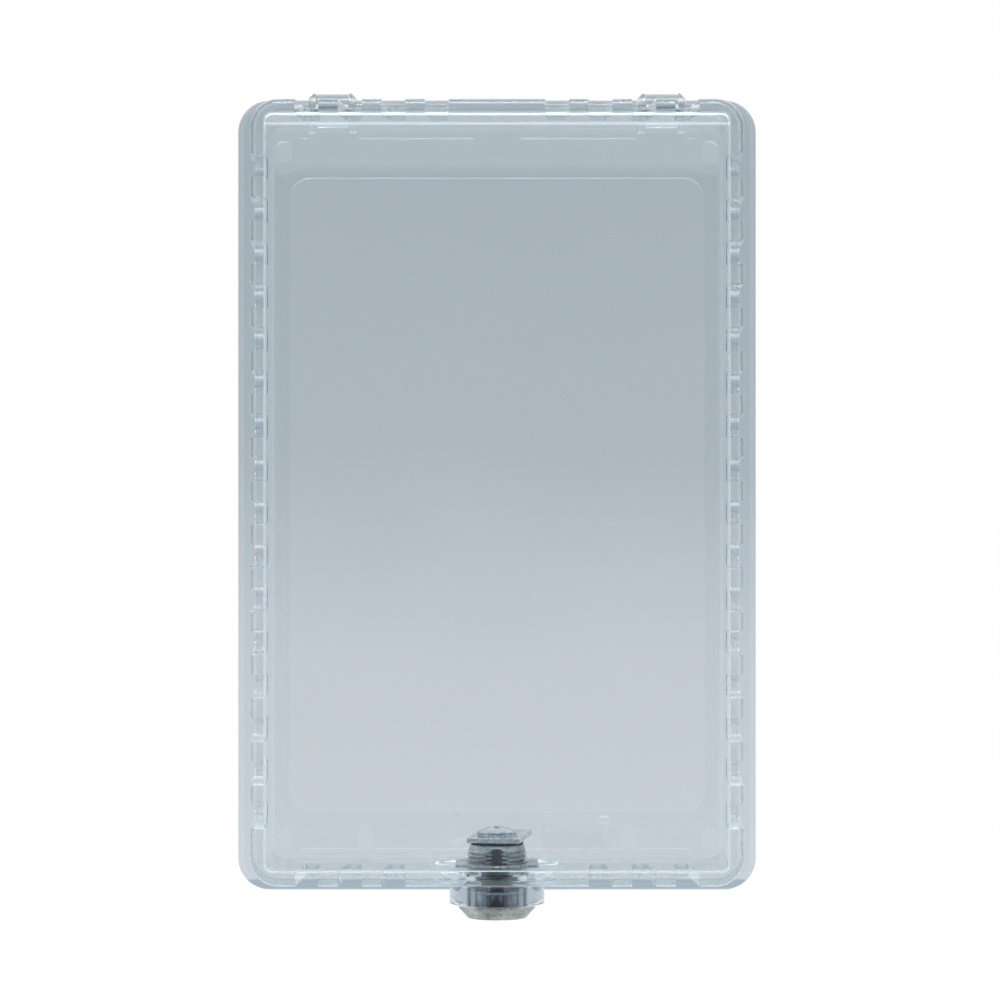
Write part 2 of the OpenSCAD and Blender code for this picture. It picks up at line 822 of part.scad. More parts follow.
// Wire of a spring: one ring of sides round each point of its helix
module spring_wire(length, turns) {
    per_turn = 10;
    sides = 5;
    radius = spring_r - wire_r;
    count = turns * per_turn + 1;
    span = length - 2 * wire_r;
    points = [
        for (i = [0 : count - 1], j = [0 : sides - 1])
            let (
                a = 360 * i / per_turn,
                b = 360 * j / sides,
                out = radius + wire_r * cos(b)
            )
                [wire_r + span * i / (count - 1) + wire_r * sin(b), out * cos(a), out * sin(a)]
    ];
    sides_faces = [
        for (i = [0 : count - 2], j = [0 : sides - 1])
            let (k = (j + 1) % sides)
                each [
                    [i * sides + j, i * sides + k, (i + 1) * sides + k],
                    [i * sides + j, (i + 1) * sides + k, (i + 1) * sides + j]
                ]
    ];
    end_faces = [
        [for (j = [sides - 1 : -1 : 0]) j],
        [for (j = [0 : sides - 1]) (count - 1) * sides + j]
    ];
    polyhedron(points, concat(sides_faces, end_faces));
}

module spring_at_lug()
    translate([spring_back_x, lug_y, 0])
        spring_wire(lug_x[0] - spring_back_x, spring_turns);

module wafer_spring(n)
    color([0.75, 0.75, 0.75])
        turned(cam_rest)
            at_wafer(n)
                spring_at_lug();

module retainer_spring()
    color([0.75, 0.75, 0.75])
        turned(cam_rest)
            translate([0, 0, retainer_z])
                spring_at_lug();

// Washer on the tail, with the lug that meets the stop of the housing
module stop_washer()
    color([0.2, 0.2, 0.2])
        turned(cam_rest)
            translate([0, 0, barrel_top_z])
                linear_extrude(stop_t)
                    difference() {
                        union() {
                            circle(stop_ring_r);
                            ring_sector(
                                plug_r - 1, stop_lug_r,
                                lug_lead - stop_lug_turn / 2, lug_lead + stop_lug_turn / 2
                            );
                        }
                        square(tail_w + 0.06, center = true);
                    }

// Flat latch arm: square at its right far corner, rounded at the left one
module cam()
    color([0.72, 0.74, 0.75])
        turned(cam_rest)
            translate([0, 0, stop_top_z])
                linear_extrude(cam_t)
                    difference() {
                        union() {
                            translate([-cam_half, -cam_heel])
                                square([cam_w, cam_heel + cam_toe - cam_corner_r]);
                            translate([-cam_half + cam_corner_r, -cam_heel])
                                square([cam_w - cam_corner_r, cam_heel + cam_toe]);
                            translate([-cam_half + cam_corner_r, cam_toe - cam_corner_r])
                                circle(cam_corner_r);
                        }
                        square(tail_w + 0.06, center = true);
                    }

module cam_washer()
    color([0.78, 0.78, 0.77])
        turned(cam_rest)
            translate([0, 0, cam_top_z])
                linear_extrude(washer_t)
                    difference() {
                        circle(washer_r);
                        circle(shank_r + 0.15);
                    }

// Domed cross-recess screw
module cam_screw() {
    dome_r = (head_r * head_r + head_dome_h * head_dome_h) / (2 * head_dome_h);
    recess_w = 0.8;
    recess_l = 3.6;
    recess_d = 0.8;
    head_top = head_rim_h + head_dome_h;
    color([0.76, 0.76, 0.75])
        turned(cam_rest)
            translate([0, 0, washer_top_z])
                difference() {
                    union() {
                        cylinder(head_rim_h, r = head_r);
                        intersection() {
                            translate([0, 0, head_top - dome_r])
                                sphere(dome_r);
                            cylinder(head_top + 1, r = head_r);
                        }
                        translate([0, 0, -washer_t - shank_l])
                            cylinder(shank_l + washer_t + 0.1, r = shank_r);
                    }
                    for (a = [0, 90])
                        rotate([0, 0, a])
                            translate([-recess_l / 2, -recess_w / 2, head_top - recess_d])
                                cube([recess_l, recess_w, 2]);
                }
}

base_plate();
cover();
lock_housing();
lock_nut();
lock_washer();
lock_plug();
wafer(1);  // wafer_1
wafer(2);  // wafer_2
wafer(3);  // wafer_3
wafer(4);  // wafer_4
wafer_spring(1);  // wafer_spring_1
wafer_spring(2);  // wafer_spring_2
wafer_spring(3);  // wafer_spring_3
wafer_spring(4);  // wafer_spring_4
plug_retainer();
retainer_spring();
stop_washer();
cam();
cam_washer();
cam_screw();
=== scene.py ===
"""Looks of a clear thermostat lock box: a vented cover on a base plate, with a small cam lock."""
import json
import math
from functools import partial

import bmesh
import bpy
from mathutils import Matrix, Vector

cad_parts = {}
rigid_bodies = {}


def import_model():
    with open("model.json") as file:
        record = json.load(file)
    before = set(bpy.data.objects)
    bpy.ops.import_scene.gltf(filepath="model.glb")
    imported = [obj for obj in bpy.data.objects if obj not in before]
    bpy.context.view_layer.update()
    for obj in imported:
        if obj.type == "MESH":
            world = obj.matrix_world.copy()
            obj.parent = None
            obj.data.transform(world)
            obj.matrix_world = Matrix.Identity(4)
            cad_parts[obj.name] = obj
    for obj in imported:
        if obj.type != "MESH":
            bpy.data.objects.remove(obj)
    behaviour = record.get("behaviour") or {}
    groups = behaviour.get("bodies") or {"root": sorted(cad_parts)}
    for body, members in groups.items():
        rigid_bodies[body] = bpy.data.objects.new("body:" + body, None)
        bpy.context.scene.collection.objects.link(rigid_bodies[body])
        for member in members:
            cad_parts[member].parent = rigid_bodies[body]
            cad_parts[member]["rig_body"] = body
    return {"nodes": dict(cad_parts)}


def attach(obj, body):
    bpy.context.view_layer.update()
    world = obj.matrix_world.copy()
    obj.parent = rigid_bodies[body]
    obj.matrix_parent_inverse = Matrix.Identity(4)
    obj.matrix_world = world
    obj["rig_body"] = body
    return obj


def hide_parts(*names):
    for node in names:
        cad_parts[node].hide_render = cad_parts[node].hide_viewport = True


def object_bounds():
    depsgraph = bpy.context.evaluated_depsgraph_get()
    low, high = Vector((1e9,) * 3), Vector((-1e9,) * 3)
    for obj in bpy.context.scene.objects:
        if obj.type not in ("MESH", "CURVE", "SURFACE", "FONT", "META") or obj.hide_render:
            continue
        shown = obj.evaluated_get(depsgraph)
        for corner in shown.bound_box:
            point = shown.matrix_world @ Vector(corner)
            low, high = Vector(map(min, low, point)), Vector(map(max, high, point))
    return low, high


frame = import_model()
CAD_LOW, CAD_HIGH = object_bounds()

MM = 0.001
NODES = frame["nodes"]
WHITE = (1.0, 1.0, 1.0, 1.0)

# Camera, from the vanishing point and scale of the photograph
CAMERA_Y = -0.774
CAMERA_Z = 0.00107
LENS_MM = 131.04
SENSOR_MM = 36.0
SHIFT_X = 0.003
SHIFT_Y = -0.010
CLIP_NEAR = 0.01
CLIP_FAR = 100.0

# Floor well below the object: its own grey, and how much white it shows of itself
FLOOR_Z = CAD_LOW.z - 0.16
FLOOR_HALF = 30.0
FLOOR_GREY = 0.30
FLOOR_GLOW = 0.825

# World: its light on the object, and how bright it looks overhead, where 1 is white
WORLD_LIGHT = 0.6
SKY_LIFT = 1.9
# Upward part of a direction where the brighter sky begins, and where it is full
SKY_FROM = 0.22
SKY_FULL = 0.60

# Dark board behind the camera
CARD_HALF = 0.35
CARD_Y = -1.2
CARD_LOW = -0.24
CARD_HIGH = 0.55
CARD_COLOUR = (0.01, 0.01, 0.011, 1.0)

# Lamps: name, place, width, height and watts
LAMPS = (
    ("top_strip", (0.0, -0.45, 0.75), 0.5, 0.09, 3.0),
    ("left_strip", (-0.75, -0.45, 0.05), 0.18, 0.6, 1.0),
    ("right_strip", (0.75, -0.45, 0.05), 0.18, 0.6, 1.0),
)

# Lock, in millimetres about its axis
LOCK_Y = -0.020
BARREL_R = 6.2
BARREL_TOP = -72.2
FLAT_D = 5.65
BORE_R = 4.08
BORE_FOOT = -86.1
NECK_IN = 0.2
NECK_R = BARREL_R - NECK_IN

# Thread of the barrel: flat share of its root, share of its flank, and the length that it fades in over
THREAD_LOW = -81.8
THREAD_PITCH = 0.8
THREAD_DEPTH = 0.46
THREAD_ROOT = 0.12
THREAD_FLANK = 0.62
THREAD_RUN_IN = 0.8
THREAD_STEP = 0.08

# Rounded tip of the barrel
TIP_LENGTH = 2.2
TIP_IN = 0.75
TIP_CURVE = 1.3

# Room cut into the bore of the housing, for the plug's retainer and for wafers that stand out
ROOM_R = 4.70
RETAINER_ROOM = (-75.75, -76.85)
WAFER_ROOM = (-77.20, -84.10)
# Direction in degrees and half width of the wafers' channels, unlocked and locked
WAFER_CHANNELS = ((-3.7, 2.74), (-90.0, 2.45))

# Profiles of the bezel, from the bore outwards, and of the neck with its relief groove: radius and height
BEZEL = (
    (5.08, BORE_FOOT), (5.08, -87.32), (5.16, -87.40), (5.95, -87.40), (6.12, -87.33),
    (7.2, -86.12), (8.22, -84.99), (8.24, -84.94), (8.16, -84.90),
)
NECK = (
    (6.1, -84.90), (NECK_R, -84.85), (NECK_R, -82.10), (5.62, -81.95), (5.62, -81.85), (NECK_R, THREAD_LOW),
)

# Ring on top of the barrel: its ends in degrees clockwise from straight back, and its section
STOP_RING_ENDS = (245.25, 474.75)
STOP_RING_SECTION = (
    (4.6, BARREL_TOP), (5.42, BARREL_TOP), (5.45, BARREL_TOP + 0.05),
    (5.45, -71.65), (5.4, -71.6), (4.6, -71.6),
)

# Toothed lock washer: heights of its faces, and the step in from them at its bore
WASHER_LOW = -77.5
WASHER_HIGH = -76.9
WASHER_STEP = 0.02
WASHER_BORE_R = 6.3
# Its teeth: how many, radii of their tips and roots, half thickness of the rim, and the share that is tooth
WASHER_TEETH = 18
TOOTH_R = 9.2
TOOTH_ROOT_R = 8.1
TOOTH_HALF = 0.15
TOOTH_SHARE = 0.5
# Twist of a tooth: its slope, and the place along the tooth that it turns about
TOOTH_TWIST = 0.5
TWIST_ABOUT = 0.22

# Roundings of edges, in millimetres: plastic, thick metal, plug with its stop washer, sheet, washer teeth
PLASTIC_EDGE = 0.28
METAL_EDGE = 0.10
PLUG_EDGE = 0.06
SHEET_EDGE = 0.05
TOOTH_EDGE = 0.04

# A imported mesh: corners that are merged, in millimetres, and faces that count as one, in degrees
MERGE_MM = 0.002
FLAT_DEGREES = 0.6
# Edges that are rounded off, in degrees, and slivers that this leaves, in millimetres
SHARP_DEGREES = 38
TOOTH_SHARP_DEGREES = 30
SLIVER_MM = 0.0005
# The housing: corners that are merged, in millimetres, and edges that don't look smooth, in degrees
HOUSING_MERGE_MM = 0.001
HOUSING_SHARP_DEGREES = 32

# Clear plastic: roughness where it is polished and where it is frosted, and its coat
POLISHED = 0.03
FROSTED = 0.34
COAT_ROUGHNESS = 0.04
COAT_IOR = 1.5
COVER_IOR = 1.4
COVER_COAT = 0.6
BASE_IOR = 1.3
BASE_COAT = 0.2
# Faint waviness of its faces: scale and detail, and strength and depth of their bump
WAVES = (90.0, 2.0)
WAVES_BUMP = (0.05, 0.0002)

# Tint: half height that it fades over, scale and weight of its unevenness
TINT_HALF_Z = 0.084
CLOUD_SCALE = 28.0
CLOUD_WEIGHT = 0.10

# How many layers of tint each zone carries; the extra layers on the slots, the rim, the slot ends, the
# rounded front edge and the flange's foot paint darker bands of shade
FRONT_DEPTH = 1.0
SLOT_DEPTH = 1.0
RIM_DEPTH = 1.7
LOW_END_DEPTH = 2.2
EDGE_DEPTH = 2.7
BOSS_DEPTH = 1.9
TAB_DEPTH = 0.25
FLANGE_DEPTH = 1.1
FOOT_DEPTH = 2.0
# How frosted the rim and the slots are, where 1 is fully
SLOT_MATT = 0.25

# Rounded rectangles that bound the zones, in metres: half width, half height, corner radius, middle height
COVER_LIFT = 0.00055
PANEL = (0.0467, 0.07615, 0.0016, COVER_LIFT)
FRONT_EDGE = (0.0486, 0.0777, 0.0050, 0.0010)
OUTER_FACE = (0.0482, 0.07855, 0.0030, COVER_LIFT)
FLANGE_INSIDE = (0.0506, 0.08005, 0.0067, COVER_LIFT)
OUTLINE_BLUR = 0.0001

# Planes that bound the zones, in metres
PANEL_Y = -0.0430
RIM_Y = -0.0444
EDGE_Y = -0.0443
SLOT_ENDS_Y = (-0.0300, -0.0100)
LOCK_HALF = 0.017
SIDE_SLOTS_X = 0.0440
SIDE_SLOTS_Z = 0.0735
FOOT_SLOTS_Z = -0.0745
TOP_SLOTS_Z = 0.0740
BOSS_Z = -0.0796
TAB_Z = 0.0807
FLANGE_Y = -0.0026
EAR_FOOT_Z = 0.0780
EAR_TOP_Z = 0.0838
FLANGE_FOOT_Z = (-0.0813, -0.0817)
BEZEL_Z = (-0.0850, -0.0848)
GROOVE_Z = (-0.0821, -0.0816)

# Part of a normal along an axis, from where a face counts as facing it, or only as leaning to it
FACING = 0.5
LEANING = 0.2

# Painted light on the front, as a clearer tint towards its edges: the heights of its scale, and the share
# of clear plastic along that scale, whose narrow peak is a painted highlight line
LIFT_Z = (0.0600, 0.0780)
LIFT_STOPS = (
    (0.20, 0.0), (0.36, 0.13), (0.68, 0.14), (0.785, 0.26), (0.795, 0.95), (0.812, 0.95), (0.822, 0.34),
)
LIFT_X = (0.0441, 0.0449)
LIFT_SIDE = 0.13

# Metal: depth of the bump of its grain, in metres, and scale of its patches as a share of the grain's
GRAIN_BUMP = 0.0001
PATCH_SHARE = 0.16
# Detail and roughness of the pattern of the grain
GRAIN_PATTERN = (5.0, 0.65)
# Where the shade goes from dark to light, and where the grain goes from smooth to rough
SHADE_SPAN = (0.12, 0.42)
GRAIN_SPAN = (0.3, 0.7)
# Roughness of the smooth and the rough grain, as shares of the metal's
ROUGHNESS_SPREAD = (0.75, 1.3)

# Metals: light colour, dark colour, roughness, scale of the grain and strength of its bump
METALS = (
    ("plated_steel", (0.80, 0.83, 0.85), (0.46, 0.49, 0.50), 0.24, 900.0, 0.3),
    ("satin_steel", (0.60, 0.63, 0.65), (0.26, 0.28, 0.29), 0.28, 1100.0, 0.4),
    # Dark steel of the stop washer, also used as painted shade on the ring under the cam
    ("dark_steel", (0.05, 0.055, 0.06), (0.02, 0.022, 0.025), 0.4, 700.0, 0.2),
    ("wafer_brass", (0.72, 0.58, 0.30), (0.45, 0.34, 0.16), 0.3, 700.0, 0.2),
    ("spring_steel", (0.60, 0.62, 0.63), (0.35, 0.36, 0.37), 0.3, 700.0, 0.1),
    ("plug_metal", (0.52, 0.52, 0.48), (0.28, 0.28, 0.25), 0.32, 800.0, 0.3),
)

# Grainy nickel of the housing: its grain as scale, detail and roughness, scale of its patches
CAST_GRAIN = (1500.0, 4.0, 0.7)
CAST_PATCH = 300.0
# Span of its shade, least and most roughness, and strength of its bump
CAST_SPAN = (0.14, 0.40)
CAST_ROUGHNESS = (0.24, 0.44)
CAST_BUMP = 0.5
# Its dark and light colours on the threads, the bezel and the flats, whose near-black is a painted dark
# reflection, and the colour in the groove, a painted highlight
SIDE_TONES = ((0.28, 0.30, 0.31), (0.72, 0.74, 0.75))
BEZEL_TONES = ((0.16, 0.175, 0.18), (0.46, 0.485, 0.49))
FLAT_PAINTED_REFLECTION_TONES = ((0.02, 0.024, 0.026), (0.14, 0.15, 0.155))
GROOVE_PAINTED_HIGHLIGHT = (0.92, 0.94, 0.95)
# Part of a normal towards the front or back, from where a face takes the flats' tone of painted dark
# reflection
FLAT_FACING = (0.985, 0.998)


class Finish:
    """A node material. Inputs are given in order, as values or as sockets."""

    def __init__(self, name):
        self.material = bpy.data.materials.new(name)
        self.material.use_nodes = True
        self.tree = self.material.node_tree
        self.shader = self.tree.nodes["Principled BSDF"]
        self.coords = self.tree.nodes.new("ShaderNodeTexCoord")

    def node(self, kind, *inputs, **settings):
        made = self.tree.nodes.new("ShaderNode" + kind)
        for key, value in settings.items():
            setattr(made, key, value)
        for socket, value in zip(made.inputs, inputs):
            self.put(socket, value)
        return made.outputs[0]

    def put(self, socket, value):
        if isinstance(value, bpy.types.NodeSocket):
            self.tree.links.new(value, socket)
        elif value is not None:
            socket.default_value = value

    def set(self, **inputs):
        for name, value in inputs.items():
            self.put(self.shader.inputs[name.replace("_", " ")], value)

    def math(self, operation, a, b=None):
        return self.node("Math", a, b, operation=operation)

    def size(self, value):
        return self.math("ABSOLUTE", value)

    def above(self, value, limit):
        return self.math("GREATER_THAN", value, limit)

    def below(self, value, limit):
        return self.math("LESS_THAN", value, limit)

    def within(self, value, low, high):
        return self.all_of(self.above(value, low), self.below(value, high))

    def outside(self, mask):
        return self.math("SUBTRACT", 1.0, mask)

    def either(self, a, b):
        return self.math("MAXIMUM", a, b)

    def all_of(self, *masks):
        total = masks[0]
        for mask in masks[1:]:
            total = self.math("MULTIPLY", total, mask)
        return total

    def axes(self, kind="Object"):
        """The three parts of a coordinate."""
        return self.node("SeparateXYZ", self.coords.outputs[kind]).node.outputs

    def noise(self, scale, detail=3.0, roughness=0.5):
        made = self.node("TexNoise").node
        self.put(made.inputs["Vector"], self.coords.outputs["Object"])
        made.inputs["Scale"].default_value = scale
        made.inputs["Detail"].default_value = detail
        made.inputs["Roughness"].default_value = roughness
        return made.outputs["Fac"]

    def ramp(self, factor, *stops):
        made = self.node("ValToRGB", factor).node
        band = made.color_ramp.elements
        while len(band) < len(stops):
            band.new(0.5)
        for element, (at, colour) in zip(band, stops):
            element.position = at
            element.color = (*colour, 1.0)
        return made.outputs[0]

    def between(self, value, low, high, to_low=0.0, to_high=1.0):
        return self.node("MapRange", value, low, high, to_low, to_high)

    def blend(self, factor, a, b):
        made = self.node("Mix", data_type="RGBA").node
        # For colours, a Mix node uses its inputs 6 and 7 and its output 2
        for index, value in ((0, factor), (6, a), (7, b)):
            if isinstance(value, tuple):
                value = (*value, 1.0)
            self.put(made.inputs[index], value)
        return made.outputs[2]

    def bump(self, height, strength, distance):
        made = self.node("Bump", strength, distance).node
        self.put(made.inputs["Height"], height)
        return made.outputs[0]


def linear(r, g, b):
    """A colour given as it shows on screen, from 0 to 255."""
    def one(v):
        v /= 255
        return v / 12.92 if v <= 0.04045 else ((v + 0.055) / 1.055) ** 2.4
    return one(r), one(g), one(b)


# One layer of tint, from the foot to the top of the box; its darkening towards the top is painted shade
TINT_STOPS = (
    (0.04, linear(204, 213, 219)), (0.30, linear(199, 207, 214)),
    (0.55, linear(177, 188, 196)), (0.88, linear(171, 183, 191)),
)
CLEAR_WALL = linear(234, 240, 243)
CLEAR_FLANGE = linear(252, 253, 253)
CLEAR_FRONT = linear(240, 249, 255)


def tint_height(f, z):
    """Place on the scale of the tint, from 0 at the foot to 1 at the top, a little uneven."""
    cloud = f.math("SUBTRACT", f.noise(CLOUD_SCALE), 0.5)
    return f.math("ADD", f.between(z, -TINT_HALF_Z, TINT_HALF_Z), f.math("MULTIPLY", cloud, CLOUD_WEIGHT))


def tint_with_painted_shade(f, height, depth):
    """Smoky tint that fades downwards, as if the plastic were so many layers deep; its darkening towards
    the top is painted shade.
    """
    stops = [(at, tuple(part ** depth for part in colour)) for at, colour in TINT_STOPS]
    return f.ramp(height, *stops)


def within_outline(f, x, z, outline):
    """1 inside an upright rounded rectangle, 0 outside, with a soft edge."""
    half_x, half_z, radius, lift = outline
    out_x = f.math("SUBTRACT", f.size(x), half_x - radius)
    out_z = f.math("SUBTRACT", f.size(f.math("SUBTRACT", z, lift)), half_z - radius)
    square_x = f.math("POWER", f.math("MAXIMUM", out_x, 0.0), 2.0)
    square_z = f.math("POWER", f.math("MAXIMUM", out_z, 0.0), 2.0)
    corner = f.math("SQRT", f.math("ADD", square_x, square_z))
    inner = f.math("MINIMUM", f.math("MAXIMUM", out_x, out_z), 0.0)
    distance = f.math("SUBTRACT", f.math("ADD", corner, inner), radius)
    return f.between(distance, -OUTLINE_BLUR, OUTLINE_BLUR, 1.0, 0.0)


def clear_shader(f, tint, matt, ior, coat):
    """Clear plastic. The parts given as matt, from 0 to 1, are slightly frosted."""
    f.set(
        Base_Color=tint, Transmission_Weight=1.0, IOR=ior,
        Roughness=f.between(matt, 0.0, 1.0, POLISHED, FROSTED),
        Coat_Weight=coat, Coat_Roughness=COAT_ROUGHNESS, Coat_IOR=COAT_IOR,
        Normal=f.bump(f.noise(*WAVES), *WAVES_BUMP),
    )
    return f.material


def painted_edge_light(f, x, z):
    """Painted light: how much clearer the front's tint is painted towards its edges, where it takes light
    from the walls, with a painted highlight line near the top.
    """
    stops = [(at, (share, share, share)) for at, share in LIFT_STOPS]
    up = f.ramp(f.between(z, *LIFT_Z), *stops)
    side = f.between(f.size(x), *LIFT_X, 0.0, LIFT_SIDE)
    return f.either(up, side)


def cover_plastic():
    """Clear plastic that carries one layer of tint wherever the front is looked through, with painted light
    towards the front's edges and darker bands of painted shade on the rim, the edge and the slots.
    """
    f = Finish("cover_plastic")
    x, y, z = f.axes()
    facing_x, facing_y, facing_z = [f.size(part) for part in f.axes("Normal")]
    inside = within_outline(f, x, z, PANEL)
    panel = f.all_of(inside, f.below(y, PANEL_Y))
    rim = f.all_of(f.outside(inside), f.below(y, RIM_Y))
    edge = f.all_of(f.outside(within_outline(f, x, z, FRONT_EDGE)), f.below(y, EDGE_Y))

    # Blind ends of the slots, away from the lock, darkened with painted shade
    outer = f.outside(within_outline(f, x, z, OUTER_FACE))
    beside_lock = f.above(f.size(x), LOCK_HALF)
    off_lock = f.either(beside_lock, f.above(z, 0.0))
    slot_end = f.all_of(outer, f.within(y, *SLOT_ENDS_Y), off_lock, f.above(facing_y, LEANING))
    low_end = f.all_of(slot_end, f.below(z, TOP_SLOTS_Z))

    # Long faces of the slots in the side walls and in the bottom wall, darkened with painted shade
    at_side = f.above(f.size(x), SIDE_SLOTS_X)
    side_slot = f.all_of(at_side, f.above(facing_z, FACING), f.below(f.size(z), SIDE_SLOTS_Z))
    between_sides = f.math("SUBTRACT", beside_lock, at_side)
    foot_slot = f.all_of(between_sides, f.above(facing_x, FACING), f.below(z, FOOT_SLOTS_Z))
    slot = f.either(side_slot, foot_slot)

    boss = f.below(z, BOSS_Z)
    tab = f.above(z, TAB_Z)
    height = tint_height(f, z)
    # Painted light towards the front's edges, with a painted highlight line near the top
    front = f.blend(painted_edge_light(f, x, z), tint_with_painted_shade(f, height, FRONT_DEPTH), CLEAR_FRONT)
    tint = f.blend(panel, CLEAR_WALL, front)
    # Extra layers paint darker bands of shade on the slots, the rim, the slot ends and the rounded front
    # edge; the boss and the tab take their own depths
    for zone, depth in (
        (slot, SLOT_DEPTH), (f.either(rim, slot_end), RIM_DEPTH), (low_end, LOW_END_DEPTH),
        (edge, EDGE_DEPTH), (boss, BOSS_DEPTH), (tab, TAB_DEPTH),
    ):
        tint = f.blend(zone, tint, tint_with_painted_shade(f, height, depth))
    matt = f.math("MULTIPLY", f.either(rim, slot), SLOT_MATT)
    return clear_shader(f, tint, f.either(matt, tab), COVER_IOR, COVER_COAT)


def base_plastic():
    """Clear plastic, tinted on the rim of the flange outside the cover's walls, with a darker band of
    painted shade along its foot.
    """
    f = Finish("base_plastic")
    x, y, z = f.axes()
    proud = f.below(y, FLANGE_Y)
    clear = f.either(within_outline(f, x, z, FLANGE_INSIDE), f.all_of(proud, f.below(z, EAR_TOP_Z)))
    # Darker band of painted shade along the foot of the flange
    foot = f.between(z, *FLANGE_FOOT_Z)
    height = tint_height(f, z)
    rim = f.blend(foot, tint_with_painted_shade(f, height, FLANGE_DEPTH), tint_with_painted_shade(f, height, FOOT_DEPTH))
    ear = f.all_of(proud, f.above(z, EAR_FOOT_Z))
    return clear_shader(f, f.blend(clear, rim, CLEAR_FLANGE), ear, BASE_IOR, BASE_COAT)


def metal(name, colour, dark, roughness, grain, bump):
    """Plated metal: uneven tone and fine grain."""
    f = Finish(name)
    tone = f.noise(grain, *GRAIN_PATTERN)
    patch = f.noise(grain * PATCH_SHARE)
    shade = f.between(f.math("MULTIPLY", tone, patch), *SHADE_SPAN)
    smooth, rough = [roughness * share for share in ROUGHNESS_SPREAD]
    f.set(
        Base_Color=f.blend(shade, dark, colour),
        Metallic=1.0,
        Roughness=f.between(tone, *GRAIN_SPAN, smooth, rough),
        Normal=f.bump(tone, bump, GRAIN_BUMP),
    )
    return f.material


def housing_metal():
    """Grainy nickel: near-black flats as a painted dark reflection, light threads, a darker bezel and a
    painted highlight in the groove.
    """
    f = Finish("cast_nickel")
    z = f.axes()[2]
    facing = f.size(f.axes("Normal")[1])
    grain = f.noise(*CAST_GRAIN)
    patch = f.noise(CAST_PATCH)
    shade = f.between(f.math("MULTIPLY", grain, patch), *CAST_SPAN)
    side = f.blend(shade, *SIDE_TONES)
    bezel = f.blend(shade, *BEZEL_TONES)
    flat = f.blend(shade, *FLAT_PAINTED_REFLECTION_TONES)
    tone = f.blend(f.between(z, *BEZEL_Z), bezel, side)
    # Painted dark reflection on the flats, and a painted highlight in the groove
    tone = f.blend(f.between(facing, *FLAT_FACING), tone, flat)
    tone = f.blend(f.within(z, *GROOVE_Z), tone, GROOVE_PAINTED_HIGHLIGHT)
    f.set(
        Base_Color=tone, Metallic=1.0,
        Roughness=f.between(grain, *GRAIN_SPAN, *CAST_ROUGHNESS),
        Normal=f.bump(grain, CAST_BUMP, GRAIN_BUMP),
    )
    return f.material


def linked(name, mesh, material):
    """A new object of the scene with one material."""
    made = bpy.data.objects.new(name, mesh)
    bpy.context.scene.collection.objects.link(made)
    mesh.materials.append(material)
    return made


def smoothed(shape):
    for face in shape.faces:
        face.smooth = True


def rounded(piece, width_mm, degrees):
    """Adds a bevel to the sharp edges of a piece."""
    bevel = piece.modifiers.new("rounded", "BEVEL")
    bevel.width = width_mm * MM
    bevel.limit_method = "ANGLE"
    bevel.angle_limit = math.radians(degrees)
    return bevel


def dressed(name, width_mm, finish):
    """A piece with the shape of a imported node, its edges rounded off."""
    source = NODES[name]
    shape = bmesh.new()
    shape.from_mesh(source.data)
    bmesh.ops.remove_doubles(shape, verts=shape.verts, dist=MERGE_MM * MM)
    bmesh.ops.dissolve_limit(
        shape, angle_limit=math.radians(FLAT_DEGREES), verts=shape.verts, edges=shape.edges,
    )
    smoothed(shape)
    plain = bpy.data.meshes.new("made_" + name)
    shape.to_mesh(plain)
    shape.free()
    piece = linked("made_" + name, plain, finish)
    bevel = rounded(piece, width_mm, SHARP_DEGREES)
    bevel.segments = 2
    bevel.miter_outer = "MITER_ARC"
    joined = piece.modifiers.new("joined", "WELD")
    joined.merge_threshold = SLIVER_MM * MM
    weighted = piece.modifiers.new("flat_faces", "WEIGHTED_NORMAL")
    weighted.mode = "FACE_AREA"
    weighted.weight = 100
    weighted.thresh = 0.0001
    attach(piece, source["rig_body"])
    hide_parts(name)


def placed(name, shape, finish, body, node):
    """A new piece from a bmesh, riding on its body in place of a node."""
    bmesh.ops.recalc_face_normals(shape, faces=shape.faces)
    mesh = bpy.data.meshes.new(name)
    shape.to_mesh(mesh)
    shape.free()
    piece = linked(name, mesh, finish)
    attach(piece, body)
    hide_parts(node)
    return piece


def about_lock(x_mm, y_mm, z_mm):
    """A point given in millimetres: across and back from the axis of the lock, and up from the origin."""
    return x_mm * MM, LOCK_Y + y_mm * MM, z_mm * MM


def skin(shape, rings):
    """Faces between each ring of points and the next one."""
    count = len(rings[0])
    for a, b in zip(rings, rings[1:]):
        for k in range(count):
            n = (k + 1) % count
            shape.faces.new((a[k], b[k], b[n], a[n]))


def thread_radius(z_mm, turn):
    """Radius of the barrel of the lock at a height, with its thread fading in and out."""
    phase = (z_mm / THREAD_PITCH - turn) % 1.0
    ridge = 1.0 - abs(2.0 * phase - 1.0)
    ridge = min(1.0, max(0.0, (ridge - THREAD_ROOT) / THREAD_FLANK))
    fade = min(1.0, max(0.0, (z_mm - THREAD_LOW) / THREAD_RUN_IN))
    tip = min(1.0, max(0.0, (BARREL_TOP - z_mm) / TIP_LENGTH))
    outer = BARREL_R - TIP_IN * (1.0 - tip) ** TIP_CURVE
    inner = min(outer, NECK_R - (THREAD_DEPTH - NECK_IN) * fade)
    return inner + (outer - inner) * ridge * fade


def channel_radius(turn):
    """Radius of the bore beside the wafers, with a channel to each side that they stand out to."""
    radius = BORE_R
    for degrees, half_width in WAFER_CHANNELS:
        away = math.radians((360.0 * turn - degrees + 180.0) % 360.0 - 180.0)
        if abs(away) < math.pi / 3:
            side = half_width / max(abs(math.sin(away)), 0.01)
            radius = max(radius, min(ROOM_R / math.cos(away), side))
    return radius


